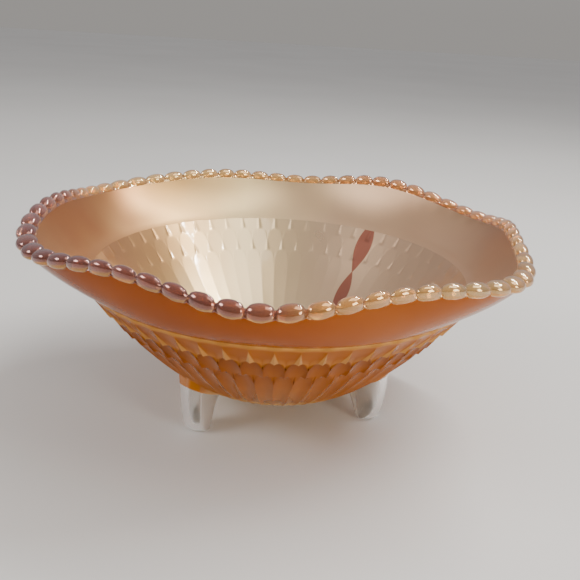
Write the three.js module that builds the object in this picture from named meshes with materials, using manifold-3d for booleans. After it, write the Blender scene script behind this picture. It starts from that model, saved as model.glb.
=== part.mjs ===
// Three-footed pressed glass bowl with a beaded, six-ruffle rim. Millimetres, +Z up.
// The origin is on the bowl's axis, at the level of the surface that the three feet stand on.
// The real bowl is one pressing. It is divided here where its form changes: base disc, fluted wall,
// plain band, beaded rim and three feet, each a closed solid with a hairline gap to its neighbours.
import * as THREE from 'three';
import { mergeVertices } from 'three/addons/utils/BufferGeometryUtils.js';
import Module from 'manifold-3d';

const wasm = await Module();
wasm.setup();

const GAP = 0.3;

// Rim: a ring of beads on a crimped edge.
const RIM_RADIUS = 102.8;
const RIM_HEIGHT = 86.3;
const BEAD_COUNT = 64;
const BEAD_OFFSET_DEG = 2.4;
const BEAD_CREST = 3.2;
const BEAD_VALLEY = 1.7;
const BEAD_STEPS = 4;
const BEAD_TO_LIP = 2.4;

// The crimping: six ruffles, and the slight ovalness and unevenness of a rim bent by hand.
// Only even waves flare outward, so opposite sides of the rim match and the bowl stays centred.
const RIM_WAVES = [
  { waves: 6, lift: 2.3, highAt: 57.5, flare: 2.6, outAt: 26.7 },
  { waves: 1, lift: 0.5, highAt: 150, flare: 0, outAt: 0 },
  { waves: 2, lift: 0.4, highAt: 12, flare: 2.7, outAt: 4.5 },
  { waves: 3, lift: 0.9, highAt: 78, flare: 0, outAt: 0 },
  { waves: 4, lift: 0.3, highAt: 74.5, flare: 1.8, outAt: 40.5 },
  { waves: 8, lift: 0.4, highAt: 7.4, flare: 0.5, outAt: 10.5 },
];
const RUFFLE_EASE = 1.3;

// Fluted wall: rises from the base edge to the ledge under the plain band.
const BASE_RADIUS = 34;
const BASE_UNDERSIDE = 14.5;
const BASE_THICKNESS = 5.5;
const LEDGE_RADIUS = 86;
const LEDGE_HEIGHT = 64;
const BASE_SLOPE_DEG = 24;
const BASE_CURVE = 20;
const LEDGE_SLOPE_DEG = 53;
const LEDGE_CURVE = 24;
const WALL_THICKNESS = 4.5;

// The floor's edge inside the bowl runs into the wall more gently than the base edge outside.
const FLOOR_SLOPE_DEG = 20;
const FLOOR_CURVE = 18;
const BASE_DISC_BEVEL = 0.5;

// Pattern: staggered rows of pointed petals over long ribs, one column every 360 / COLUMN_COUNT degrees.
const COLUMN_COUNT = 57;
const COLUMN_OFFSET_DEG = 4.5;
const RIB_PROUD = 0.7;
const GROOVE_DEPTH = 0.6;

// Plain band: a smooth collar between the ledge and the beads, thinner than the fluted wall.
const BAND_TOP_SLOPE_DEG = 60;
const BAND_TOP_CURVE = 13;
const BAND_THICKNESS = 3.6;
const BAND_SET_BACK = 0.6;
const BAND_STEPS = 3;
const BAND_SEGMENTS = 96;

// Feet: three stubby toes, broad and rounded outside, narrow inside, with a rounded sole.
const FOOT_AZIMUTHS_DEG = { foot_front_left: -136, foot_front_right: -16, foot_back: 104 };
const FOOT_RIDGE_RADIUS = 48;
const FOOT_OUTER_RADIUS = 53.4;
const FOOT_HALF_WIDTH = 6.2;
const FOOT_INNER_HALF_WIDTH = 1.6;
const FOOT_INNER_RADIUS = 28;
const FOOT_SOLE_RADIUS = 44.8;
const FOOT_SOLE_HALF_LENGTH = 1.8;
const FOOT_SOLE_CURVE = 3.5;
const FOOT_HEEL_HEIGHT = 12;
const FOOT_HEEL_CURVE = 7;
const FOOT_ROOT_FLARE = 0.5;
const FOOT_ARCH_CURVE = 9;
const FOOT_TOP = 34;
const BLANK_MARGIN = 1;

const rad = THREE.MathUtils.degToRad;
const direction = (degrees) => new THREE.Vector2(Math.cos(rad(degrees)), Math.sin(rad(degrees)));
const point = (r, z) => new THREE.Vector2(r, z);

// Outer line of the fluted wall, from the base edge (0) to the ledge (1), before its relief.
const BASE_EDGE = point(BASE_RADIUS, BASE_UNDERSIDE);
const LEDGE = point(LEDGE_RADIUS, LEDGE_HEIGHT);
const outerLine = new THREE.CubicBezierCurve(
  BASE_EDGE,
  BASE_EDGE.clone().addScaledVector(direction(BASE_SLOPE_DEG), BASE_CURVE),
  LEDGE.clone().addScaledVector(direction(LEDGE_SLOPE_DEG), -LEDGE_CURVE),
  LEDGE,
);

// Inner line of the same wall, from the floor's edge to the inside of the ledge.
const FLOOR_EDGE = point(BASE_RADIUS, BASE_UNDERSIDE + BASE_THICKNESS);
const INNER_LEDGE = LEDGE.clone().addScaledVector(direction(LEDGE_SLOPE_DEG + 90), WALL_THICKNESS);
const innerLine = new THREE.CubicBezierCurve(
  FLOOR_EDGE,
  FLOOR_EDGE.clone().addScaledVector(direction(FLOOR_SLOPE_DEG), FLOOR_CURVE),
  INNER_LEDGE.clone().addScaledVector(direction(LEDGE_SLOPE_DEG), -LEDGE_CURVE),
  INNER_LEDGE,
);

// The bead ring's centre, and the outer top corner of the plain band below it.
const beadCentre = point(RIM_RADIUS, RIM_HEIGHT);
const bandUp = direction(BAND_TOP_SLOPE_DEG);
const bandInward = direction(BAND_TOP_SLOPE_DEG + 90);
const lipOuter = beadCentre.clone()
  .addScaledVector(bandUp, -BEAD_TO_LIP)
  .addScaledVector(bandInward, -BAND_THICKNESS / 2);
const bandTop = lipOuter.clone().addScaledVector(bandUp, -GAP);

// How far the crimping moves a point out and up, from nothing at the ledge to all of it at the rim.
function crimp(r, z, azimuth) {
  const share = Math.max(0, (r - LEDGE_RADIUS) / (RIM_RADIUS - LEDGE_RADIUS)) ** RUFFLE_EASE;
  let out = 0;
  let up = 0;
  for (const { waves, lift, highAt, flare, outAt } of RIM_WAVES) {
    out += flare * Math.cos(waves * (azimuth - rad(outAt)));
    up += lift * Math.cos(waves * (azimuth - rad(highAt)));
  }
  return point(r + share * out, z + share * up);
}

// A lathed solid whose points are then moved in their own radial plane: place(index, azimuth)
// gives the place of profile point number index at that azimuth.
function latheSolid(profile, segments, firstAzimuth, place) {
  const geometry = new THREE.LatheGeometry(profile, segments);
  const position = geometry.attributes.position;
  for (let vertex = 0; vertex < position.count; vertex += 1) {
    const index = vertex % profile.length;
    const step = Math.floor(vertex / profile.length) % segments;
    const azimuth = firstAzimuth + (step / segments) * 2 * Math.PI;
    const moved = place(index, azimuth, step);
    position.setXYZ(vertex, moved.x * Math.cos(azimuth), moved.x * Math.sin(azimuth), moved.y);
  }
  return geometry;
}

function toManifold(geometry) {
  const bare = geometry.clone();
  bare.deleteAttribute('normal');
  bare.deleteAttribute('uv');
  const merged = mergeVertices(bare, 1e-4);
  return new wasm.Manifold(new wasm.Mesh({
    numProp: 3,
    vertProperties: new Float32Array(merged.attributes.position.array),
    triVerts: new Uint32Array(merged.index.array),
  }));
}

function fromManifold(solid) {
  const mesh = solid.getMesh();
  const geometry = new THREE.BufferGeometry();
  geometry.setAttribute('position', new THREE.BufferAttribute(mesh.vertProperties, 3));
  geometry.setIndex(new THREE.BufferAttribute(mesh.triVerts, 1));
  geometry.computeVertexNormals();
  return geometry;
}

// Levels of the relief up the outer line. A level's lean is 1 where the ribs stand midway between
// the petal tips, -1 where they stand under the tips, and 0 where the wall is smooth.
const RELIEF_LEVELS = [
  { at: 0, lean: 0 },
  { at: 0.08, lean: 0.8 },
  { at: 0.3, lean: 1 },
  { at: 0.52, lean: 1 },
  { at: 0.7, lean: 1 },
  { at: 0.77, lean: -1 },
  { at: 0.86, lean: -1 },
  { at: 0.92, lean: 1 },
  { at: 1, lean: 0.6 },
];
const INNER_LEVELS = [1, 0.8, 0.6, 0.4, 0.2, 0];

// The outer line moved out by the relief at one level, on a tip column (even) or between two (odd).
function reliefPoint(level, odd, extra) {
  const across = outerLine.getTangent(level.at).rotateAround(new THREE.Vector2(), -Math.PI / 2);
  const ribHere = odd ? level.lean > 0 : level.lean < 0;
  const relief = (ribHere ? RIB_PROUD : -GROOVE_DEPTH) * Math.abs(level.lean);
  return outerLine.getPoint(level.at).addScaledVector(across, relief + extra);
}

// The fluted wall, or with filled set, the whole space inside its outer face grown by extra.
function flutedSolid({ filled, extra }) {
  const relief = RELIEF_LEVELS.map((level) => ({ level, spot: outerLine.getPoint(level.at) }));
  const plain = (spots) => spots.map((spot) => ({ level: null, spot }));
  const inner = plain(INNER_LEVELS.map((at) => innerLine.getPoint(at)));
  const below = plain([point(0, BASE_UNDERSIDE - extra)]);
  const above = plain([point(LEDGE_RADIUS, RIM_HEIGHT), point(0, RIM_HEIGHT)]);
  const entries = filled ? [...below, ...relief, ...above] : [...relief, ...inner, relief[0]];
  const profile = entries.map(({ spot }) => spot);
  const place = (index, azimuth, step) => {
    const { level, spot } = entries[index];
    return level ? reliefPoint(level, step % 2 === 1, extra) : spot;
  };
  return latheSolid(profile, 2 * COLUMN_COUNT, rad(COLUMN_OFFSET_DEG), place);
}

function makeFlutedWall() {
  return flutedSolid({ filled: false, extra: 0 });
}

// The base disc lies just inside the fluted wall, and its top is the bowl's floor.
function makeBaseDisc() {
  const edge = BASE_RADIUS - GAP;
  const floor = BASE_UNDERSIDE + BASE_THICKNESS - BASE_DISC_BEVEL;
  const profile = [
    point(0, BASE_UNDERSIDE),
    point(edge - BASE_DISC_BEVEL, BASE_UNDERSIDE),
    point(edge, BASE_UNDERSIDE + BASE_DISC_BEVEL),
    point(edge, floor),
    point(edge - BASE_DISC_BEVEL, floor + BASE_DISC_BEVEL / 2),
    point(0, floor),
  ];
  return latheSolid(profile, COLUMN_COUNT, rad(COLUMN_OFFSET_DEG), (index) => profile[index]);
}

// Plain band: its outer face bulges a little, and its upper edge follows the crimping.
function makePlainBand() {
  const ledgeInward = direction(LEDGE_SLOPE_DEG + 90);
  const start = LEDGE.clone()
    .addScaledVector(direction(LEDGE_SLOPE_DEG), GAP)
    .addScaledVector(ledgeInward, BAND_SET_BACK);
  const shoulder = bandTop.clone().addScaledVector(bandUp, -BAND_TOP_CURVE);
  const line = new THREE.QuadraticBezierCurve(start, shoulder, bandTop);
  const outer = [];
  const inner = [];
  for (let step = 0; step <= BAND_STEPS; step += 1) {
    const at = step / BAND_STEPS;
    const across = line.getTangent(at).rotateAround(new THREE.Vector2(), Math.PI / 2);
    const inward = step === 0 ? ledgeInward : across;
    outer.push(line.getPoint(at));
    inner.unshift(line.getPoint(at).addScaledVector(inward, BAND_THICKNESS));
  }
  const profile = [...outer, ...inner, outer[0].clone()];
  const place = (index, azimuth) => crimp(profile[index].x, profile[index].y, azimuth);
  return latheSolid(profile, BAND_SEGMENTS, 0, place);
}

// Beaded rim: a plain lip that sits on the band, and a bead on it every 360 / BEAD_COUNT degrees.
// The bead's outline runs from its outer foot over the top to its inner foot.
function makeBeadedRim() {
  const lipInner = lipOuter.clone().addScaledVector(bandInward, BAND_THICKNESS);
  const bumpHeadingsDeg = [-118, -72, -28, 28, 72, 118];
  const bumps = bumpHeadingsDeg.map((heading) => (
    beadCentre.clone().addScaledVector(direction(BAND_TOP_SLOPE_DEG + heading), BEAD_CREST)
  ));
  const profile = [lipInner, lipOuter, ...bumps, lipInner.clone()];
  const place = (index, azimuth, step) => {
    const onBead = index >= 2 && index < 2 + bumps.length;
    const swell = Math.abs(Math.cos((Math.PI * step) / BEAD_STEPS));
    const reach = (BEAD_VALLEY + (BEAD_CREST - BEAD_VALLEY) * swell) / BEAD_CREST;
    const here = onBead ? beadCentre.clone().lerp(profile[index], reach) : profile[index];
    return crimp(here.x, here.y, azimuth);
  };
  return latheSolid(profile, BEAD_COUNT * BEAD_STEPS, rad(BEAD_OFFSET_DEG), place);
}

// A foot's plan: narrow at the axis end, broad with a rounded face at the outer end.
function footPlan() {
  const plan = new THREE.Shape();
  const shoulder = FOOT_OUTER_RADIUS - 1;
  plan.moveTo(FOOT_INNER_RADIUS, -FOOT_INNER_HALF_WIDTH);
  plan.lineTo(FOOT_RIDGE_RADIUS, -FOOT_HALF_WIDTH);
  plan.bezierCurveTo(
    shoulder, -FOOT_HALF_WIDTH * 0.85,
    FOOT_OUTER_RADIUS, -FOOT_HALF_WIDTH * 0.4,
    FOOT_OUTER_RADIUS, 0,
  );
  plan.bezierCurveTo(
    FOOT_OUTER_RADIUS, FOOT_HALF_WIDTH * 0.4,
    shoulder, FOOT_HALF_WIDTH * 0.85,
    FOOT_RIDGE_RADIUS, FOOT_HALF_WIDTH,
  );
  plan.lineTo(FOOT_INNER_RADIUS, FOOT_INNER_HALF_WIDTH);
  plan.closePath();
  return plan;
}

// A foot's side outline: a flat sole, a rounded heel that rises to the wall, and an arch that
// runs back from the sole to the base.
function footSide() {
  const side = new THREE.Shape();
  const soleOuter = FOOT_SOLE_RADIUS + FOOT_SOLE_HALF_LENGTH;
  const soleInner = FOOT_SOLE_RADIUS - FOOT_SOLE_HALF_LENGTH;
  const archTop = BASE_UNDERSIDE - 1;
  side.moveTo(soleInner, 0);
  side.lineTo(soleOuter, 0);
  side.bezierCurveTo(
    soleOuter + FOOT_SOLE_CURVE, 0.8,
    FOOT_OUTER_RADIUS, FOOT_HEEL_HEIGHT - FOOT_HEEL_CURVE,
    FOOT_OUTER_RADIUS, FOOT_HEEL_HEIGHT,
  );
  side.lineTo(FOOT_OUTER_RADIUS + FOOT_ROOT_FLARE, FOOT_TOP);
  side.lineTo(FOOT_INNER_RADIUS, FOOT_TOP);
  side.lineTo(FOOT_INNER_RADIUS, archTop);
  side.bezierCurveTo(
    FOOT_INNER_RADIUS + FOOT_ARCH_CURVE, archTop - 1,
    soleInner - FOOT_SOLE_CURVE, 1.5,
    soleInner, 0,
  );
  return side;
}

// A foot is what its plan and its side outline share, cut away where the bowl begins.
function makeFoot(azimuth) {
  const column = new THREE.ExtrudeGeometry(footPlan(), {
    depth: FOOT_TOP + 2 * BLANK_MARGIN,
    bevelEnabled: false,
    curveSegments: 4,
  });
  column.translate(0, 0, -BLANK_MARGIN);
  column.rotateZ(azimuth);

  const slab = new THREE.ExtrudeGeometry(footSide(), {
    depth: 2 * (FOOT_HALF_WIDTH + BLANK_MARGIN),
    bevelEnabled: false,
    curveSegments: 6,
  });
  slab.rotateX(Math.PI / 2);
  slab.translate(0, FOOT_HALF_WIDTH + BLANK_MARGIN, 0);
  slab.rotateZ(azimuth);

  const bowl = toManifold(flutedSolid({ filled: true, extra: GAP }));
  return fromManifold(toManifold(column).intersect(toManifold(slab)).subtract(bowl));
}

const marigold = (roughness) => new THREE.MeshStandardMaterial({
  color: 0xb8661f,
  roughness,
  metalness: 0.15,
});
const clearGlass = () => new THREE.MeshStandardMaterial({
  color: 0xdfe3dc,
  roughness: 0.08,
  metalness: 0,
});

function piece(name, geometry, material) {
  const mesh = new THREE.Mesh(geometry, material);
  mesh.name = name;
  return mesh;
}

const group = new THREE.Group();
group.add(piece('base_disc', makeBaseDisc(), marigold(0.2)));
group.add(piece('fluted_wall', makeFlutedWall(), marigold(0.2)));
group.add(piece('plain_band', makePlainBand(), marigold(0.25)));
group.add(piece('beaded_rim', makeBeadedRim(), marigold(0.15)));
for (const [name, azimuthDeg] of Object.entries(FOOT_AZIMUTHS_DEG)) {
  group.add(piece(name, makeFoot(rad(azimuthDeg)), clearGlass()));
}

export default group;
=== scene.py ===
"""Looks of the three-footed carnival glass bowl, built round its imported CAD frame. Metres, +Z up.

The bowl is one pressing, divided into the same pieces as the CAD: base, fluted wall, plain band,
beaded rim and three feet. Every piece is a closed mesh swept round the bowl's axis, or lofted.
"""

import math

import bpy
import numpy as np
from mathutils import Matrix, Vector


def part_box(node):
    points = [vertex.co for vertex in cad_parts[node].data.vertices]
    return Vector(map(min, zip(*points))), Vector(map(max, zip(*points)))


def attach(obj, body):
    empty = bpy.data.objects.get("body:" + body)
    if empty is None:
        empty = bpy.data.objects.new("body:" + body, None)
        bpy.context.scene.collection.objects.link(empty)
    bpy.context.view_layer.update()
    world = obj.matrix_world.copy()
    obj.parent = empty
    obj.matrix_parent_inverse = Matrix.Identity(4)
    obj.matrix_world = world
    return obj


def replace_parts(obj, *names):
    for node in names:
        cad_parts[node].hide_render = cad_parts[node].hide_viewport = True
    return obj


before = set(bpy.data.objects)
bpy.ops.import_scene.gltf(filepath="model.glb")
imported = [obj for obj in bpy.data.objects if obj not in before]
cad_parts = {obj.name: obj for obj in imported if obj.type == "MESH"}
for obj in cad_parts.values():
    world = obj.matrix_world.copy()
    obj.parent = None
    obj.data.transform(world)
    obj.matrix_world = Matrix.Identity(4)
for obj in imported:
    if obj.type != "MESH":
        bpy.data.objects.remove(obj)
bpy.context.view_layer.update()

MM = 0.001
SHARP_ANGLE = 62                       # degrees between faces, over which an edge isn't smoothed

disc_lo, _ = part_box("base_disc")

# ---------------------------------------------------------------- dimensions (metres, degrees)

# Slopes are from the horizontal, azimuths from +X towards +Y. A CURVE is how far a profile line's
# control point lies from its end, and a place on a line runs from 0 at the base to 1 at its top.

SEAM = 0.02 * MM                       # hairline between neighbouring pieces of the one pressing

BASE_RADIUS = 34 * MM
BASE_UNDERSIDE = disc_lo[2]
BASE_THICKNESS = 5.5 * MM
BASE_SLOPE, BASE_CURVE = 24, 20 * MM   # the wall's outer line where it leaves the base
FLOOR_SLOPE, FLOOR_CURVE = 20, 18 * MM   # the wall's inner line where it leaves the floor
LEDGE_RADIUS, LEDGE_HEIGHT = 86 * MM, 64 * MM   # top of the patterned wall
LEDGE_SLOPE, LEDGE_CURVE = 53, 24 * MM
WALL_THICKNESS = 4.5 * MM
SHOULDER_START = 0.985                 # place on the outer line where the wall turns in to the band
INNER_CELLS, INNER_WEDGES = 0.06, 0.20   # how much of the pattern shows on the inside of the wall

BAND_SLOPE, BAND_CURVE = 60, 13 * MM
BAND_THICKNESS = 3.6 * MM
BAND_SET_BACK = 0.4 * MM               # how far the band's outside lies in from the wall's ledge

RIM_RADIUS, RIM_HEIGHT = 102.8 * MM, 86.3 * MM   # middle of the beads, before the crimping
BEAD_COUNT, BEAD_OFFSET = 64, 2.4
BEAD_HALF_WIDTH, BEAD_HALF_HEIGHT, BEAD_TO_LIP = 3.1 * MM, 3.0 * MM, 2.4 * MM
BEAD_WAIST = 0.25                      # size of the neck between two beads, as a share of a bead
BEAD_ARC = 128                         # how far a bead's section goes round each way from its top
DOME_SHARE = 0.93                      # of the pitch that a bead's dome takes; the rest is neck
SCALLOP_LOW, SCALLOP_HIGH = 0.05 * MM, 1.5 * MM   # how far the lip runs up behind and between beads

# waves round the rim, lift, azimuth where it is highest, flare, azimuth where it is furthest out
RIM_WAVES = (
    (6, 2.3 * MM, 57.5, 2.6 * MM, 26.7),
    (1, 0.5 * MM, 150, 0, 0),
    (2, 0.4 * MM, 12, 2.7 * MM, 4.5),
    (3, 0.9 * MM, 78, 0, 0),
    (4, 0.3 * MM, 74.5, 1.8 * MM, 40.5),
    (8, 0.4 * MM, 7.4, 0.5 * MM, 10.5),
)
RUFFLE_EASE = 1.3                      # power by which the crimping grows from ledge to beads

# The pressed pattern. A staggered row of arches springs at one radius and tops out at another.
COLUMN_COUNT, COLUMN_OFFSET = 57, 4.5
ROW_A_SPRING, ROW_A_TOP = 85.3 * MM, 86.2 * MM
ROW_B_SPRING, ROW_B_TOP = 75.6 * MM, 78.9 * MM
ROW_C_SPRING, ROW_C_TOP = 68.0 * MM, 71.4 * MM
CELL_DEPTH = 1.0 * MM
CELL_DEPTH_AT_TOP = 0.35               # share of that depth which row A's cells have at their top
FLUTE_DEPTH = 1.0 * MM
FLUTE_FADE = 5 * MM                    # distance from the base over which the flutes run out
RIB_PROUD = 0.45 * MM
STEP_WIDTH = 0.45 * MM                 # half the width of the step at an arch's edge
WEDGE_RISE = 6.0 * MM                  # slope of a wedge's roof, for one column across
WEDGE_HALF_WIDTH = 0.19                # of a column, at the foot of a wedge

# The feet. Heel and toe are a foot's outermost and innermost lines, in radius and height, from its
# sole to its root.
FOOT_AZIMUTHS = {"foot_front_left": -136, "foot_front_right": -16, "foot_back": 104}
FOOT_OUTER, FOOT_INNER = 53.4 * MM, 28 * MM
FOOT_RIDGE_BACK = 4.6 * MM             # from the outermost point of a foot in to its corner ridges
FOOT_HALF_WIDTH, FOOT_INNER_HALF_WIDTH = 6.4 * MM, 1.8 * MM
FOOT_EMBED = 0.3 * MM                  # how far the root runs into the wall's glass
FOOT_TAPER = 0.92                      # width near the sole, as a share of that at the root
SOLE_INNER, SOLE_OUTER = 41.9 * MM, 48.0 * MM
SOLE_ROUNDING = 0.07                   # share of the height over which the sole's edge is rounded
SOLE_WIDTH = 0.86                      # width left at the sole itself
ROOT_INNER = 30 * MM
ROOT_FLARE, ROOT_FLARE_START = 0.10, 0.75   # widening at the root, and where it comes in
ROOT_EASE = 4                          # power by which the outlines bend into the wall's surface
HEEL_LINE = (
    (SOLE_OUTER, 0),
    (SOLE_OUTER + 3.4 * MM, 0.4 * MM),
    (FOOT_OUTER, 5 * MM),
    (FOOT_OUTER, 14 * MM),
    (FOOT_OUTER + 0.3 * MM, 27.6 * MM),
)
TOE_LINE = (
    (SOLE_INNER, 0),
    (SOLE_INNER - 3.2 * MM, 0.6 * MM),
    (ROOT_INNER + 8 * MM, 12.2 * MM),
    (ROOT_INNER, BASE_UNDERSIDE),
)
RIDGE_LEAST = 0.35                     # least share of a foot's depth that lies inside its ridges
TOE_ROUNDING = 0.25                    # share of the sides that is rounded off at the toe
HEEL_FACE = ((0.14, 0.74), (0, 0.4), (0, 0))   # controls: share in from the heel, and of the width

# Where the colours change.
STAIN_HEIGHT = 17.6 * MM               # the feet are clear below this and stained above
AMBER_AZIMUTH = 40                     # painted reflection colours: the beads are amber here, copper opposite, and gold between
STREAK_AZIMUTH, STREAK_HALF_WIDTH = 55.6, 3.1   # the one column of cells inside that carries a painted dark reflection
STREAK_WAIST, STREAK_CELL = 67.0 * MM, 19.0 * MM   # radius of its neck, and length of a cell
STREAK_INWARD = 1.6                    # how far the streak runs inwards of its neck, in cells
STREAK_NECK = 0.006                    # half width of the neck, in radians
STREAK_EDGE, STREAK_TOP_EDGE, STREAK_FOOT_EDGE = 220, 900, 400   # sharpness, per radian or metre

# The wall's painted light and shade, by distance from an arch's edge: painted light above each
# arch, painted highlights on the wedges and painted shade under each arch. An EDGE or a FADE is a
# change per metre, or per column for the wedges, and a SHARE is the strength of the whole.
ARCH_EDGE = 2500
PALE_FADE, PALE_SHARE = 380, 0.7
WEDGE_EDGE, WEDGE_SHARE = 30, 0.8
DARK_FADE_B, DARK_FADE_C, DARK_SHARE = 130, 90, 0.72
DARK_START_C = 0.6                     # row C's painted shade at the arch's edge, where row B's is 1
CLOUD_STRETCH = (1, 1, 0.5)            # clouds of colour are longer upwards than across

# Fineness of the meshes. HALF_COLUMN is where the wall's mesh columns lie in half a pattern column.
HALF_COLUMN = (0, 0.04, 0.08, 0.12, 0.16, 0.20, 0.25, 0.30, 0.34, 0.38, 0.42, 0.46)
CLOSE_ROWS_START = 0.68                # place on the wall's lines from which its rows are closer
FLUTE_ROWS, ARCH_ROWS, INNER_ARCH_ROWS = 20, 65, 44
BAND_STEPS, BAND_ROWS = 12, 22         # columns of the mesh for one of the pattern, and rows
BEAD_STEPS, BEAD_ROWS = 24, 26         # columns of the mesh for one bead, and rows over it
BASE_STEPS = 2                         # columns of the base's mesh for one of the pattern
LINE_SAMPLES = 200                     # points on the wall's line, to look its height up from
FOOT_LEVELS, LEVEL_EASE = 40, 1.8      # outlines of a foot, crowded towards the sole by this power
TOE_TURNS = (22, 45, 68)               # where the points of the rounded toe lie on its quarter turn
SIDE_POINTS, FACE_POINTS = 9, 9        # points of a foot's outline, on its side and half its face


# ---------------------------------------------------------------- curves

def heading(degrees):
    return np.array([math.cos(math.radians(degrees)), math.sin(math.radians(degrees))])


def bezier(points, at):
    """Points and unit tangents of a Bezier curve of any degree at the places in at."""
    at = np.asarray(at, float)[:, None]
    degree = len(points) - 1

    def weighted(controls):
        n = len(controls) - 1
        return sum(
            math.comb(n, k) * (1 - at) ** (n - k) * at ** k * np.asarray(c)
            for k, c in enumerate(controls)
        )

    slopes = [degree * (np.asarray(b) - np.asarray(a)) for a, b in zip(points, points[1:])]
    tangent = weighted(slopes)
    return weighted(points), tangent / np.linalg.norm(tangent, axis=1, keepdims=True)


BASE_EDGE = np.array([BASE_RADIUS, BASE_UNDERSIDE])
FLOOR_EDGE = BASE_EDGE + [0, BASE_THICKNESS]
LEDGE = np.array([LEDGE_RADIUS, LEDGE_HEIGHT])
INNER_LEDGE = LEDGE + WALL_THICKNESS * heading(LEDGE_SLOPE + 90)
OUTER_LINE = (
    BASE_EDGE,
    BASE_EDGE + BASE_CURVE * heading(BASE_SLOPE),
    LEDGE - LEDGE_CURVE * heading(LEDGE_SLOPE),
    LEDGE,
)
INNER_LINE = (
    FLOOR_EDGE,
    FLOOR_EDGE + FLOOR_CURVE * heading(FLOOR_SLOPE),
    INNER_LEDGE - LEDGE_CURVE * heading(LEDGE_SLOPE),
    INNER_LEDGE,
)
BEAD_CENTRE = np.array([RIM_RADIUS, RIM_HEIGHT])
BAND_UP = heading(BAND_SLOPE)
BAND_INWARD = heading(BAND_SLOPE + 90)
LIP_OUTER = BEAD_CENTRE - BEAD_TO_LIP * BAND_UP - BAND_THICKNESS / 2 * BAND_INWARD


def crimp(r, z, azimuth):
    """Where the crimping of the rim moves points (r, z) at these azimuths, in radians."""
    share = np.maximum(0, (r - LEDGE_RADIUS) / (RIM_RADIUS - LEDGE_RADIUS)) ** RUFFLE_EASE
    out = sum(flare * np.cos(n * (azimuth - math.radians(at))) for n, _, _, flare, at in RIM_WAVES)
    up = sum(lift * np.cos(n * (azimuth - math.radians(at))) for n, lift, at, _, _ in RIM_WAVES)
    return r + share * out, z + share * up


# ---------------------------------------------------------------- mesh making

def make_object(name, vertices, faces, materials, face_materials=None):
    mesh = bpy.data.meshes.new(name)
    mesh.from_pydata([tuple(v) for v in vertices], [], [tuple(int(i) for i in f) for f in faces])
    for material in materials:
        mesh.materials.append(material)
    if face_materials is not None:
        mesh.polygons.foreach_set("material_index", np.asarray(face_materials, dtype=np.int32))
    mesh.polygons.foreach_set("use_smooth", np.ones(len(mesh.polygons), dtype=bool))
    mesh.set_sharp_from_angle(angle=math.radians(SHARP_ANGLE))
    mesh.update()
    piece = bpy.data.objects.new(name, mesh)
    bpy.context.collection.objects.link(piece)
    return piece


def swept_ring(name, radius, height, azimuths, materials, row_materials):
    """A closed ring. Each row of radius and height is a line round the axis; the rows close up."""
    rows, columns = radius.shape
    vertices = np.stack([radius * np.cos(azimuths), radius * np.sin(azimuths), height], axis=-1)
    i = np.arange(rows)[:, None]
    j = np.arange(columns)[None, :]
    here = i * columns + j
    right = i * columns + (j + 1) % columns
    above = (i + 1) % rows * columns + j
    above_right = (i + 1) % rows * columns + (j + 1) % columns
    faces = np.stack([here, right, above_right, above], axis=-1).reshape(-1, 4)
    face_materials = np.repeat(row_materials, columns)
    return make_object(name, vertices.reshape(-1, 3), faces, materials, face_materials)


def ring_azimuths(count, first_degrees):
    return math.radians(first_degrees) + np.arange(count) / count * 2 * math.pi


def smooth_step(low, high, value):
    """0 at low and 1 at high, whichever of them is larger."""
    t = np.clip((value - low) / (high - low), 0, 1)
    return t * t * (3 - 2 * t)


# ---------------------------------------------------------------- the pressed pattern

def arch(spring, top, off_centre):
    """Radius of an arch's edge at a distance off its centre, in columns, from 0 to a half."""
    return spring + (top - spring) * np.sqrt(np.maximum(0, 1 - (off_centre / 0.5) ** 2))


def cell_height(r, off_centre, spring, foot, depth, rise):
    """A cell that deepens from its arch to its pointed foot, with a roofed wedge on each side."""
    down = np.clip((spring - r) / (spring - foot), 0, 1)
    half_width = 0.5 - WEDGE_HALF_WIDTH * down
    scoop = -depth * np.maximum(0, 1 - (np.minimum(off_centre, half_width) / 0.5) ** 2)
    return scoop + rise * np.maximum(0, off_centre - half_width)


def relief(r, azimuth, cells, wedges):
    """Height of the pattern over the wall's plain line, with a share of its cells and wedges."""
    turn = (azimuth - math.radians(COLUMN_OFFSET)) / (2 * math.pi) * COLUMN_COUNT
    off_tip = np.abs(turn - np.round(turn))
    off_gap = 0.5 - off_tip
    depth, rise = cells * CELL_DEPTH, wedges * WEDGE_RISE
    deepening = CELL_DEPTH_AT_TOP + (1 - CELL_DEPTH_AT_TOP) * smooth_step(ROW_A_TOP, ROW_B_TOP, r)
    row_a = cell_height(r, off_gap, ROW_A_SPRING, ROW_B_TOP, depth * deepening, rise)
    row_b = cell_height(r, off_tip, ROW_B_SPRING, ROW_C_TOP, depth, rise)
    height = -cells * FLUTE_DEPTH * (1 - (off_gap / 0.5) ** 2)
    edge_a = arch(ROW_A_SPRING, ROW_A_TOP, off_gap)
    edge_b = arch(ROW_B_SPRING, ROW_B_TOP, off_tip)
    edge_c = arch(ROW_C_SPRING, ROW_C_TOP, off_gap)
    height = height + (row_b - height) * smooth_step(edge_c - STEP_WIDTH, edge_c + STEP_WIDTH, r)
    height = height + (row_a - height) * smooth_step(edge_b - STEP_WIDTH, edge_b + STEP_WIDTH, r)
    height = height * (1 - smooth_step(edge_a - 2 * STEP_WIDTH, edge_a, r))
    rounded_end = smooth_step(BASE_RADIUS, BASE_RADIUS + FLUTE_FADE, r)
    return cells * RIB_PROUD + height * rounded_end


# ---------------------------------------------------------------- materials

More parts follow.
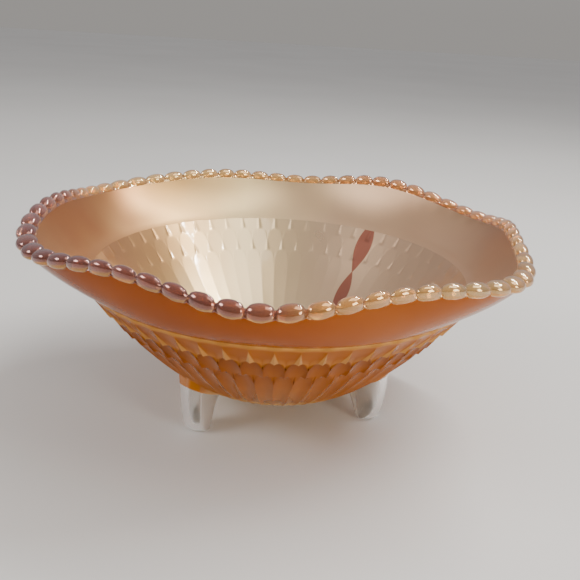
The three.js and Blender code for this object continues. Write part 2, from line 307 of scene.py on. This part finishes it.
class Nodes:
    """A short way to write a material's nodes."""

    def __init__(self, name):
        self.material = bpy.data.materials.new(name)
        self.material.use_nodes = True
        self.tree = self.material.node_tree
        self.shader = self.tree.nodes["Principled BSDF"]

    def add(self, kind, **settings):
        node = self.tree.nodes.new(kind)
        for key, value in settings.items():
            setattr(node, key, value)
        return node

    def link(self, source, target):
        self.tree.links.new(source, target)

    def value(self, operation, first, second=None, clamp=False):
        node = self.add("ShaderNodeMath", operation=operation, use_clamp=clamp)
        for socket, value in zip(node.inputs, (first, second)):
            if value is None:
                continue
            if isinstance(value, (int, float)):
                socket.default_value = value
            else:
                self.link(value, socket)
        return node.outputs[0]

    def scaled(self, source, factor, offset):
        """source times factor plus offset."""
        node = self.add("ShaderNodeMath", operation="MULTIPLY_ADD")
        self.link(source, node.inputs[0])
        node.inputs[1].default_value = factor
        node.inputs[2].default_value = offset
        return node.outputs[0]

    def split_position(self):
        split = self.add("ShaderNodeSeparateXYZ")
        self.link(self.position(), split.inputs[0])
        return split.outputs

    def polar(self):
        """Distance from the bowl's axis, and azimuth in radians."""
        x, y, _ = self.split_position()
        square = self.value("ADD", self.value("MULTIPLY", x, x), self.value("MULTIPLY", y, y))
        return self.value("SQRT", square), self.value("ARCTAN2", y, x)

    def off_tip(self, azimuth, shift=0.0):
        """Columns off the nearest column's tip; a shift of a half gives that off a gap."""
        first = COLUMN_OFFSET * COLUMN_COUNT / 360
        turn = self.scaled(azimuth, COLUMN_COUNT / (2 * math.pi), shift - first)
        return self.value("PINGPONG", turn, 0.5)

    def inside_arch(self, radius, off_centre, spring, top):
        """How far a point lies inwards of an arch's edge, in metres; negative beyond the edge."""
        square = self.value("MULTIPLY", off_centre, off_centre)
        bulge = self.value("SQRT", self.scaled(square, -4, 1))   # 0 at half a column off
        return self.value("SUBTRACT", self.scaled(bulge, top - spring, spring), radius)

    def clamped(self, source, factor, offset):
        """source times factor plus offset, kept between 0 and 1."""
        return self.value("ADD", self.scaled(source, factor, offset), 0, clamp=True)

    def position(self):
        node = self.add("ShaderNodeTexCoord")
        return node.outputs["Object"]

    def noise(self, scale, detail=2.0, stretch=(1, 1, 1)):
        mapping = self.add("ShaderNodeMapping")
        mapping.inputs["Scale"].default_value = stretch
        self.link(self.position(), mapping.inputs["Vector"])
        node = self.add("ShaderNodeTexNoise")
        node.inputs["Scale"].default_value = scale
        node.inputs["Detail"].default_value = detail
        self.link(mapping.outputs[0], node.inputs["Vector"])
        return node.outputs["Fac"]

    def ramp(self, factor, stops):
        node = self.add("ShaderNodeValToRGB")
        elements = node.color_ramp.elements
        while len(elements) < len(stops):
            elements.new(0.5)
        for element, (place, colour) in zip(elements, stops):
            element.position = place
            element.color = (*colour, 1)
        self.link(factor, node.inputs["Fac"])
        return node.outputs["Color"]

    def mix(self, factor, first, second, blend="MIX"):
        node = self.add("ShaderNodeMix", data_type="RGBA", blend_type=blend)
        factor_socket, first_socket, second_socket = (node.inputs[i] for i in (0, 6, 7))
        pairs = ((factor_socket, factor), (first_socket, first), (second_socket, second))
        for socket, value in pairs:
            if isinstance(value, (int, float)):
                socket.default_value = value
            elif isinstance(value, tuple):
                socket.default_value = (*value, 1)
            else:
                self.link(value, socket)
        return node.outputs[2]

    def facing_down(self):
        """0 where the surface looks up or sideways, 1 where it looks well down."""
        split = self.add("ShaderNodeSeparateXYZ")
        self.link(self.add("ShaderNodeTexCoord").outputs["Normal"], split.inputs[0])
        return self.clamped(split.outputs["Z"], factor=-3.0, offset=-0.6)

    def edge_on(self, blend):
        """0 where the surface is seen square on, 1 where it is seen edge on."""
        node = self.add("ShaderNodeLayerWeight")
        node.inputs["Blend"].default_value = blend
        return node.outputs["Facing"]

    def height_share(self, low, high):
        """0 at height low, 1 at height high."""
        above = self.value("SUBTRACT", self.split_position()["Z"], low)
        return self.value("DIVIDE", above, high - low, clamp=True)

    def bump(self, height, strength, distance):
        node = self.add("ShaderNodeBump")
        node.inputs["Strength"].default_value = strength
        node.inputs["Distance"].default_value = distance
        self.link(height, node.inputs["Height"])
        self.link(node.outputs["Normal"], self.shader.inputs["Normal"])

    def set(self, **inputs):
        for name, value in inputs.items():
            socket = self.shader.inputs[name.replace("_", " ")]
            if isinstance(value, (int, float, tuple)):
                socket.default_value = value
            else:
                self.link(value, socket)


def wall_amber():
    """Outside of the patterned wall: amber stain, with painted shade under each arch, painted light
    above it, and painted highlights on the wedges and the top ledge.
    """
    n = Nodes("amber_wall")
    radius, azimuth = n.polar()
    off_tip, off_gap = n.off_tip(azimuth), n.off_tip(azimuth, shift=0.5)
    # The stain by height, pale at the foot and dark up the wall; the paler top stop is a painted
    # highlight on the ledge.
    tint = n.ramp(n.height_share(BASE_UNDERSIDE, LEDGE_HEIGHT), (
        (0.0, (0.95, 0.60, 0.22)),
        (0.06, (0.82, 0.42, 0.10)),
        (0.15, (0.50, 0.155, 0.006)),
        (0.50, (0.42, 0.112, 0.001)),
        (0.965, (0.42, 0.112, 0.001)),
        (1.0, (0.76, 0.38, 0.10)),
    ))
    inside_b = n.inside_arch(radius, off_tip, ROW_B_SPRING, ROW_B_TOP)
    inside_c = n.inside_arch(radius, off_gap, ROW_C_SPRING, ROW_C_TOP)
    below_b = n.clamped(inside_b, ARCH_EDGE, 0)
    above_b = n.value("SUBTRACT", 1, below_b)
    below_c = n.clamped(inside_c, ARCH_EDGE, 0)
    # pale: painted light on row A's lower end, above each arch of row B.
    pale = n.value("MULTIPLY", n.clamped(inside_b, PALE_FADE, 1), above_b)
    tint = n.mix(n.value("MULTIPLY", pale, PALE_SHARE), tint, (0.60, 0.24, 0.045))
    # wedge: a painted highlight on each wedge's roof, above row B's arches.
    widening = WEDGE_HALF_WIDTH / (ROW_A_SPRING - ROW_B_TOP)
    wedge_width = n.clamped(radius, -widening, widening * ROW_A_SPRING)
    wedge = n.clamped(n.value("SUBTRACT", wedge_width, off_tip), WEDGE_EDGE, 0)
    wedge = n.value("MULTIPLY", wedge, n.value("MULTIPLY", above_b, WEDGE_SHARE))
    tint = n.mix(wedge, tint, (0.74, 0.37, 0.10))
    # dark: painted shade under the arches of rows B and C.
    dark_b = n.value("MULTIPLY", below_b, n.clamped(inside_b, -DARK_FADE_B, 1))
    dark_c = n.value("MULTIPLY", below_c, n.clamped(inside_c, -DARK_FADE_C, DARK_START_C))
    dark = n.value("MAXIMUM", dark_b, dark_c)
    tint = n.mix(n.value("MULTIPLY", dark, DARK_SHARE), tint, (0.22, 0.048, 0.0002))
    shade = n.ramp(n.noise(40, detail=3), ((0.3, (0.78, 0.72, 0.66)), (0.7, (1.0, 1.0, 1.0))))
    n.set(
        Base_Color=n.mix(1.0, tint, shade, "MULTIPLY"),
        Roughness=n.scaled(n.noise(60), factor=0.08, offset=0.12),
        IOR=1.5,
        Specular_IOR_Level=0.12,
        Specular_Tint=(1.0, 0.66, 0.32, 1),
        Transmission_Weight=0.14,
    )
    return n.material


def band_amber():
    """Outside of the plain band: a deep burnt orange stain in clouds, with the colour darker
    towards the left and lighter towards the right.
    """
    n = Nodes("amber_band")
    across = n.scaled(n.split_position()["X"], factor=2.6, offset=0.30)
    cloud = n.scaled(n.noise(22, detail=3, stretch=CLOUD_STRETCH), factor=0.5, offset=-0.05)
    place = n.value("ADD", across, cloud)
    tint = n.ramp(place, (
        (0.10, (0.25, 0.045, 0.0005)),
        (0.50, (0.37, 0.076, 0.0005)),
        (0.90, (0.48, 0.118, 0.001)),
    ))
    n.set(
        Base_Color=tint,
        Roughness=n.scaled(n.noise(50), factor=0.08, offset=0.10),
        IOR=1.5,
        Specular_IOR_Level=0.16,
        Specular_Tint=(1.0, 0.62, 0.30, 1),
        Transmission_Weight=0.2,
    )
    return n.material


def streak(n):
    """1 on the streak, a painted dark reflection shaped as a chain of pointed cells, and 0 off it.
    """
    radius, azimuth = n.polar()
    off = n.value("ABSOLUTE", n.value("SUBTRACT", azimuth, math.radians(STREAK_AZIMUTH)))
    cells = n.scaled(radius, math.pi / STREAK_CELL, -math.pi * STREAK_WAIST / STREAK_CELL)
    swell = n.value("ABSOLUTE", n.value("SINE", cells))
    width = n.scaled(swell, math.radians(STREAK_HALF_WIDTH), STREAK_NECK)
    inside = n.value("MULTIPLY", n.value("SUBTRACT", width, off), STREAK_EDGE, clamp=True)
    to_top = n.value("SUBTRACT", STREAK_WAIST + STREAK_CELL, radius)
    to_foot = n.value("SUBTRACT", radius, STREAK_WAIST - STREAK_INWARD * STREAK_CELL)
    below_top = n.value("MULTIPLY", to_top, STREAK_TOP_EDGE, clamp=True)
    above_foot = n.value("MULTIPLY", to_foot, STREAK_FOOT_EDGE, clamp=True)
    return n.value("MULTIPLY", inside, n.value("MULTIPLY", below_top, above_foot))


def inside_lustre(streaked):
    """Inside of the bowl: the satin iridescent coat, champagne with tan and rose clouds, and across
    it a painted sheen of pale champagne in the middle, painted shade darkening the right end, and a
    painted pale sheen where it is seen edge on.

    The wall's coat is glossier than the band's, and has one painted dark reflection, a streak down
    a column of cells.
    """
    n = Nodes("lustre_inside_streaked" if streaked else "lustre_inside")
    # The colour runs across the bowl from dark tan at the left end, through a painted sheen of pale
    # champagne in the middle, to rose with painted shade at the right end; the noise makes the
    # clouds.
    across = n.scaled(n.split_position()["X"], factor=4.2, offset=0.36)
    cloud = n.value("MULTIPLY", n.noise(16, detail=3, stretch=CLOUD_STRETCH), 0.3)
    side = n.value("ADD", across, cloud)
    tint = n.ramp(side, (
        (0.10, (0.42, 0.14, 0.03)),
        (0.27, (0.64, 0.36, 0.11)),
        (0.46, (0.85, 0.64, 0.32)),
        (0.68, (0.74, 0.50, 0.30)),
        (0.95, (0.52, 0.29, 0.17)),
    ))
    if streaked:
        # The streak is a painted dark reflection down one column of cells.
        tint = n.mix(streak(n), tint, (0.30, 0.075, 0.035))
    n.set(
        # A painted pale sheen where the coat is seen edge on.
        Base_Color=n.mix(n.value("MULTIPLY", n.edge_on(blend=0.35), 0.3), tint, (0.74, 0.48, 0.36)),
        Roughness=n.scaled(n.noise(45), factor=0.12, offset=0.24 if streaked else 0.32),
        IOR=1.5,
        Metallic=0.6,
        Transmission_Weight=0.5,
        Coat_Weight=1.0 if streaked else 0.0,
        Coat_Roughness=0.03,
    )
    return n.material


def rim_glass():
    """The beads: glossy glass under a thin iridescent coat, with painted reflection colours from
    copper through gold to amber round the rim, a painted pale sheen where seen edge on, and painted
    gold light beneath.
    """
    n = Nodes("rim_glass")
    x, y, _ = n.split_position()
    # Painted reflection colours of the beads, by where each sits round the rim.
    toward = heading(AMBER_AZIMUTH) / (2 * RIM_RADIUS)
    share = n.value("ADD", n.scaled(x, toward[0], 0.5), n.scaled(y, toward[1], 0))
    place = n.value("ADD", share, n.scaled(n.noise(30), factor=0.16, offset=-0.08))
    bead_reflection_colour = n.ramp(place, (
        (0.08, (0.34, 0.10, 0.055)),
        (0.18, (0.50, 0.17, 0.07)),
        (0.27, (0.92, 0.48, 0.12)),
        (0.50, (0.98, 0.66, 0.24)),
        (0.78, (0.96, 0.58, 0.19)),
        (0.97, (0.80, 0.36, 0.12)),
    ))
    # glint: a painted pale sheen where a bead is seen edge on.
    glint = n.mix(n.value("MULTIPLY", n.edge_on(blend=0.5), 0.5), bead_reflection_colour, (0.72, 0.62, 0.74))
    n.set(
        # Painted gold light shining through the beads' undersides.
        Base_Color=n.mix(n.facing_down(), glint, (0.98, 0.50, 0.09)),
        Roughness=n.scaled(n.noise(80), factor=0.05, offset=0.03),
        IOR=1.52,
        Metallic=0.3,
        Transmission_Weight=0.75,
        Coat_Weight=0.5,
        Coat_Roughness=0.02,
    )
    return n.material


def clear_glass():
    """The feet: clear glass, a little uneven from the press."""
    n = Nodes("clear_glass")
    clear = n.ramp(n.noise(30), ((0.3, (0.84, 0.87, 0.85)), (0.7, (0.95, 0.96, 0.94))))
    n.set(
        Base_Color=clear,
        Roughness=n.scaled(n.noise(70), factor=0.03, offset=0.0),
        IOR=1.52,
        Transmission_Weight=1.0,
    )
    n.bump(n.noise(50), strength=0.06, distance=0.6 * MM)
    return n.material


WALL_OUTSIDE = wall_amber()
BAND_OUTSIDE = band_amber()
INSIDE = inside_lustre(streaked=False)
STREAKED = inside_lustre(streaked=True)
RIM = rim_glass()
CLEAR = clear_glass()


# ---------------------------------------------------------------- pieces

def displaced(line, places, azimuths, cells, wedges):
    """Rows of a profile curve, moved along its outward normal by the relief."""
    spots, tangents = bezier(line, places)
    outward = np.stack([tangents[:, 1], -tangents[:, 0]], axis=1)
    r = np.repeat(spots[:, :1], len(azimuths), axis=1)
    height = relief(r, azimuths[None, :], cells, wedges)
    return spots[:, :1] + outward[:, :1] * height, spots[:, 1:] + outward[:, 1:] * height


def make_wall():
    """The patterned wall, from the base up to the ledge, where it turns in to meet the band."""
    steps = HALF_COLUMN + tuple(0.5 + step for step in HALF_COLUMN)
    turns = np.array([k + step for k in range(COLUMN_COUNT) for step in steps])
    azimuths = math.radians(COLUMN_OFFSET) + turns / COLUMN_COUNT * 2 * math.pi
    flutes = np.linspace(0, CLOSE_ROWS_START, FLUTE_ROWS)[:-1]
    arches = np.linspace(CLOSE_ROWS_START, SHOULDER_START, ARCH_ROWS)
    inner_arches = np.linspace(1, CLOSE_ROWS_START, INNER_ARCH_ROWS)
    places = np.concatenate([flutes, arches])
    inner_places = np.concatenate([inner_arches, flutes[:0:-2], [0]])
    outer_r, outer_z = displaced(OUTER_LINE, places, azimuths, 1, 1)
    inner_r, inner_z = displaced(INNER_LINE, inner_places, azimuths, INNER_CELLS, INNER_WEDGES)
    flush_r, flush_z = LEDGE + BAND_SET_BACK * heading(LEDGE_SLOPE + 90)
    radius = np.vstack([outer_r, np.full_like(outer_r[:1], flush_r), inner_r])
    height = np.vstack([outer_z, np.full_like(outer_z[:1], flush_z), inner_z])
    rows = np.zeros(len(radius), dtype=int)
    rows[len(places) + 1:] = 1
    wall = swept_ring("bowl_wall", radius, height, azimuths, [WALL_OUTSIDE, STREAKED], rows)
    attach(wall, "root")
    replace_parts(wall, "fluted_wall")


def make_band():
    """The plain collar, which bulges a little and takes up the crimping towards the rim."""
    azimuths = ring_azimuths(COLUMN_COUNT * BAND_STEPS, COLUMN_OFFSET)
    along, inward = heading(LEDGE_SLOPE), heading(LEDGE_SLOPE + 90)
    start = LEDGE + SEAM * along + BAND_SET_BACK * inward
    top = LIP_OUTER - SEAM * BAND_UP
    line = (start, top - BAND_CURVE * BAND_UP, top)
    outer, tangents = bezier(line, np.linspace(0, 1, BAND_ROWS))
    across = np.stack([-tangents[:, 1], tangents[:, 0]], axis=1)
    across[0] = inward
    thickness = np.full((len(outer), 1), BAND_THICKNESS)
    thickness[0] = WALL_THICKNESS - BAND_SET_BACK - INNER_CELLS * RIB_PROUD
    inner = (outer + across * thickness)[::-1]
    profile = np.vstack([outer, inner])
    radius, height = crimp(profile[:, :1], profile[:, 1:], azimuths[None, :])
    rows = np.zeros(len(profile), dtype=int)
    rows[len(outer):] = 1
    band = swept_ring("bowl_band", radius, height, azimuths, [BAND_OUTSIDE, INSIDE], rows)
    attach(band, "root")
    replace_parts(band, "plain_band")


def make_beads():
    """The ring of beads on its scalloped lip. The lip's outer row is stained like the band."""
    azimuths = ring_azimuths(BEAD_COUNT * BEAD_STEPS, BEAD_OFFSET)
    off_bead = np.abs((np.arange(len(azimuths)) / BEAD_STEPS + 0.5) % 1 - 0.5) * 2
    dome = np.sqrt(np.maximum(0, 1 - (off_bead / DOME_SHARE) ** 2))
    swell = BEAD_WAIST + (1 - BEAD_WAIST) * dome
    valley = 1 - dome
    lip_inner = LIP_OUTER + BAND_THICKNESS * BAND_INWARD
    scallop = (SCALLOP_LOW + (SCALLOP_HIGH - SCALLOP_LOW) * valley) * BAND_UP[:, None]
    rows = [np.repeat(corner[:, None], len(swell), axis=1) for corner in (lip_inner, LIP_OUTER)]
    rows.append(LIP_OUTER[:, None] + scallop)
    for turn in np.radians(np.linspace(-BEAD_ARC, BEAD_ARC, BEAD_ROWS)):
        up = BEAD_HALF_HEIGHT * math.cos(turn) * BAND_UP
        inward = BEAD_HALF_WIDTH * math.sin(turn) * BAND_INWARD
        rows.append(BEAD_CENTRE[:, None] + swell * (up + inward)[:, None])
    rows.append(lip_inner[:, None] + scallop)
    rows = np.array(rows)
    radius, height = crimp(rows[:, 0], rows[:, 1], azimuths[None, :])
    row_materials = np.zeros(len(rows), dtype=int)
    row_materials[1] = 1
    beads = swept_ring("rim_beads", radius, height, azimuths, [RIM, BAND_OUTSIDE], row_materials)
    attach(beads, "root")
    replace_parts(beads, "beaded_rim")


def make_base():
    """The floor disc, slightly hollowed underneath, with softened edges."""
    middle, edge = 0.4 * MM, BASE_RADIUS - SEAM
    floor = FLOOR_EDGE[1] - INNER_CELLS * RIB_PROUD
    first_floor_row = 6
    profile = np.array([               # from the middle of the underside to that of the floor
        (middle, BASE_UNDERSIDE + 1.2 * MM),
        (edge * 0.5, BASE_UNDERSIDE + 1.0 * MM),
        (edge * 0.82, BASE_UNDERSIDE + 0.5 * MM),
        (edge * 0.9, BASE_UNDERSIDE),
        (edge - 0.6 * MM, BASE_UNDERSIDE),
        (edge, BASE_UNDERSIDE + 0.5 * MM),
        (edge, floor - 0.2 * MM),
        (edge - 0.4 * MM, floor),
        (edge * 0.6, floor - 0.35 * MM),
        (middle, floor - 0.45 * MM),
    ])
    azimuths = ring_azimuths(COLUMN_COUNT * BASE_STEPS, COLUMN_OFFSET)
    count = len(azimuths)
    vertices = [(r * math.cos(a), r * math.sin(a), z) for r, z in profile for a in azimuths]
    faces, face_materials = [], []
    for i in range(len(profile) - 1):
        for j in range(count):
            k = (j + 1) % count
            faces.append((i * count + j, i * count + k, (i + 1) * count + k, (i + 1) * count + j))
            face_materials.append(1 if i >= first_floor_row else 0)
    faces.append(tuple(reversed(range(count))))
    face_materials.append(0)
    faces.append(tuple(range((len(profile) - 1) * count, len(profile) * count)))
    face_materials.append(1)
    base = make_object("bowl_base", vertices, faces, [WALL_OUTSIDE, INSIDE], face_materials)
    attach(base, "root")
    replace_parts(base, "base_disc")


def wall_underside(r):
    """Height of the wall's plain outer line at radius r, and of the flat base inside it."""
    spots, _ = bezier(OUTER_LINE, np.linspace(0, 1, LINE_SAMPLES))
    return np.interp(r, spots[:, 0], spots[:, 1])


def foot_plan(toe, heel, widen):
    """Half of a foot's outline at one level, from the toe end round to the heel."""
    ridge = max(heel - FOOT_RIDGE_BACK, toe + RIDGE_LEAST * (heel - toe))

    def half_width(x):
        share = min(1, (x - FOOT_INNER) / (FOOT_OUTER - FOOT_RIDGE_BACK - FOOT_INNER))
        return widen * (FOOT_INNER_HALF_WIDTH + (FOOT_HALF_WIDTH - FOOT_INNER_HALF_WIDTH) * share)

    end = half_width(toe)
    run = TOE_ROUNDING * (ridge - toe)
    outline = [(toe, 0)]
    for turn in np.radians(TOE_TURNS):
        outline.append((toe + run * (1 - math.cos(turn)), end * math.sin(turn)))
    for x in np.linspace(toe + run, ridge, SIDE_POINTS):
        outline.append((x, half_width(x)))
    wide = half_width(ridge)
    face = [(ridge, wide)]
    face += [(heel - inset * (heel - ridge), share * wide) for inset, share in HEEL_FACE]
    spots, _ = bezier(face, np.linspace(0, 1, FACE_POINTS + 1)[1:])
    return outline + [tuple(spot) for spot in spots]


def make_foot(name, azimuth):
    """Lofted from the sole to the root, where the last outline lies in the wall's own surface."""
    levels = np.linspace(0, 1, FOOT_LEVELS) ** LEVEL_EASE
    heels, _ = bezier(HEEL_LINE, levels)
    toes, _ = bezier(TOE_LINE, levels)
    rings = []
    for level, heel, toe in zip(levels, heels, toes):
        rounding = min(1, level / SOLE_ROUNDING)
        widen = FOOT_TAPER + (1 - FOOT_TAPER) * level
        widen *= SOLE_WIDTH + (1 - SOLE_WIDTH) * math.sqrt(1 - (1 - rounding) ** 2)
        widen *= 1 + ROOT_FLARE * smooth_step(ROOT_FLARE_START, 1, level)
        half = foot_plan(toe[0], heel[0], widen)
        outline = half + [(x, -y) for x, y in half[-2:0:-1]]
        ring = []
        for x, y in outline:
            plain = np.interp(x, (toe[0], heel[0]), (toe[1], heel[1]))
            rooted = float(wall_underside(math.hypot(x, y))) + FOOT_EMBED
            ring.append((x, y, plain + (rooted - plain) * level ** ROOT_EASE))
        rings.append(ring)
    vertices = [v for ring in rings for v in ring]
    count = len(rings[0])
    faces = []
    for i in range(len(rings) - 1):
        for j in range(count):
            k = (j + 1) % count
            faces.append((i * count + j, i * count + k, (i + 1) * count + k, (i + 1) * count + j))
    faces.append(tuple(reversed(range(count))))
    last = (len(rings) - 1) * count
    top = len(vertices)
    centre = np.mean(rings[-1], axis=0)
    vertices.append((centre[0], centre[1], float(wall_underside(centre[0])) + FOOT_EMBED))
    for j in range(count):
        faces.append((last + j, last + (j + 1) % count, top))
    stained = np.zeros(len(faces), dtype=int)
    stained[np.argmax(heels[:, 1] > STAIN_HEIGHT) * count:] = 1
    stained[(len(rings) - 1) * count] = 0   # the flat of the sole
    foot = make_object(name, vertices, faces, [CLEAR, WALL_OUTSIDE], stained)
    foot.data.transform(Matrix.Rotation(math.radians(azimuth), 4, "Z"))
    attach(foot, "root")
    return foot


make_wall()
make_band()
make_beads()
make_base()
for node, azimuth in FOOT_AZIMUTHS.items():
    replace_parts(make_foot(node.replace("foot", "glass_foot"), azimuth), node)


# ---------------------------------------------------------------- floor, light and camera

def make_floor():
    reach = 4.0
    corners = [(-reach, -reach, 0), (reach, -reach, 0), (reach, reach, 0), (-reach, reach, 0)]
    n = Nodes("floor")
    tone = n.ramp(n.noise(3), ((0.3, (0.66, 0.64, 0.61)), (0.7, (0.70, 0.68, 0.65))))
    n.set(Base_Color=tone, Roughness=0.7)
    floor = make_object("floor", corners, [(0, 1, 2, 3)], [n.material])
    floor.location.z = -0.2 * MM       # just clear of the soles


def area_light(name, place, aim, size, power, colour, along=(0, 1, 0)):
    """A rectangle that shines from place towards aim, with its second side along a direction."""
    data = bpy.data.lights.new(name, "AREA")
    data.shape = "RECTANGLE"
    data.size, data.size_y = size
    data.energy = power
    data.color = colour
    light = bpy.data.objects.new(name, data)
    back = (Vector(place) - Vector(aim)).normalized()
    side = Vector(along).cross(back).normalized()
    axes = Matrix((side, back.cross(side), back)).transposed().to_4x4()
    light.matrix_world = Matrix.Translation(place) @ axes
    bpy.context.collection.objects.link(light)


def make_world():
    world = bpy.data.worlds.new("studio")
    world.use_nodes = True
    bpy.context.scene.world = world
    tree = world.node_tree
    background = tree.nodes["Background"]
    coordinates = tree.nodes.new("ShaderNodeTexCoord")
    split = tree.nodes.new("ShaderNodeSeparateXYZ")
    ramp = tree.nodes.new("ShaderNodeValToRGB")
    ramp.color_ramp.elements[0].position = 0.0
    ramp.color_ramp.elements[0].color = (0.42, 0.40, 0.38, 1)
    ramp.color_ramp.elements[1].position = 0.7
    ramp.color_ramp.elements[1].color = (0.62, 0.62, 0.64, 1)
    tree.links.new(coordinates.outputs["Generated"], split.inputs[0])
    tree.links.new(split.outputs["Z"], ramp.inputs["Fac"])
    tree.links.new(ramp.outputs["Color"], background.inputs["Color"])
    background.inputs["Strength"].default_value = 0.8


def make_camera():
    """The camera stands in front of the bowl and looks down at it, tilted a little to one side."""
    place = Vector((0, -334.4 * MM, 175.35 * MM))
    aim = Vector((4.98 * MM, 0, 55.11 * MM))
    roll = math.radians(3.356)
    forward = (aim - place).normalized()
    right = forward.cross(Vector((0, 0, 1))).normalized()
    up = right.cross(forward)
    camera_x = math.cos(roll) * right + math.sin(roll) * up
    camera_y = -math.sin(roll) * right + math.cos(roll) * up
    axes = Matrix((camera_x, camera_y, -forward)).transposed().to_4x4()
    data = bpy.data.cameras.new("camera")
    data.sensor_width = 36
    data.lens = 48.45
    camera = bpy.data.objects.new("camera", data)
    camera.matrix_world = Matrix.Translation(place) @ axes
    bpy.context.collection.objects.link(camera)
    bpy.context.scene.camera = camera


make_floor()
make_world()
area_light(
    "key", place=(0.42, -0.25, 0.90), aim=(0, 0, 0.05), size=(0.60, 0.55),
    power=3.5, colour=(1.0, 0.96, 0.90),
)
area_light(
    "strip", place=(0.48, 0.23, 0.85), aim=(-0.044, 0.058, 0.05), size=(0.02, 0.75),
    power=9, colour=(1, 1, 1), along=(-0.31, 0.42, 0.11),
)
area_light(
    "window", place=(-0.80, -0.35, 0.65), aim=(0, 0, 0.06), size=(0.30, 0.45),
    power=5, colour=(1.0, 0.98, 0.96),
)
area_light(
    "fill", place=(0.75, -0.75, 0.35), aim=(0, 0, 0.05), size=(0.35, 0.35),
    power=4, colour=(1.0, 0.95, 0.88),
)
make_camera()

bpy.context.view_layer.update()
